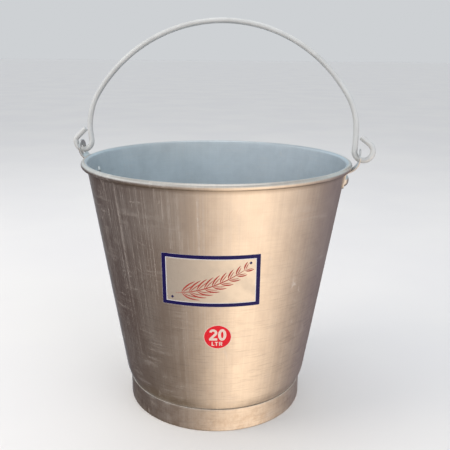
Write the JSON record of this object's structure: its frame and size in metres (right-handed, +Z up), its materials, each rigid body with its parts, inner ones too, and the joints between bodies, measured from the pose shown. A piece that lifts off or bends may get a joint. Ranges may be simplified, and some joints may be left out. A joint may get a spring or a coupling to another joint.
{
  "type": "milk pail",
  "caption": "Tapered seamless aluminium milk pail with a rolled lip, a foot ring, two riveted ears and a swinging rod bail.",
  "frame": {"origin": "centre of the foot ring on the ground", "axes": "+Z up along the pail's axis, X along the bail's pivots, the label on the -Y side"},
  "size_m": [0.4055, 0.3516, 0.5107],
  "materials": {
    "spun_aluminium": "spun and brushed, lightly scuffed",
    "ear_aluminium": "pressed, satin",
    "rivet_aluminium": "hammered, satin",
    "wire_steel": "drawn wire",
    "bail_rod": "dull galvanised",
    "label_film": "clear film printed with a blue frame and red strokes",
    "sticker_red": "printed red film with white figures"
  },
  "bodies": {
    "pail": {"pail_shell": "spun_aluminium", "rim_wire": "wire_steel", "foot_ring": "spun_aluminium", "ear_left": "ear_aluminium", "ear_right": "ear_aluminium", "rivet_left": "rivet_aluminium", "rivet_right": "rivet_aluminium", "front_label": "label_film", "capacity_sticker": "sticker_red"},
    "bail": {"bail": "bail_rod"}
  },
  "joints": [
    {"name": "bail_swing", "type": "hinge", "parent": "pail", "child": "bail", "pos_m": [0, 0, 0.3378], "axis": [1, 0, 0], "range_deg": [-80.2, 100.2]}
  ]
}
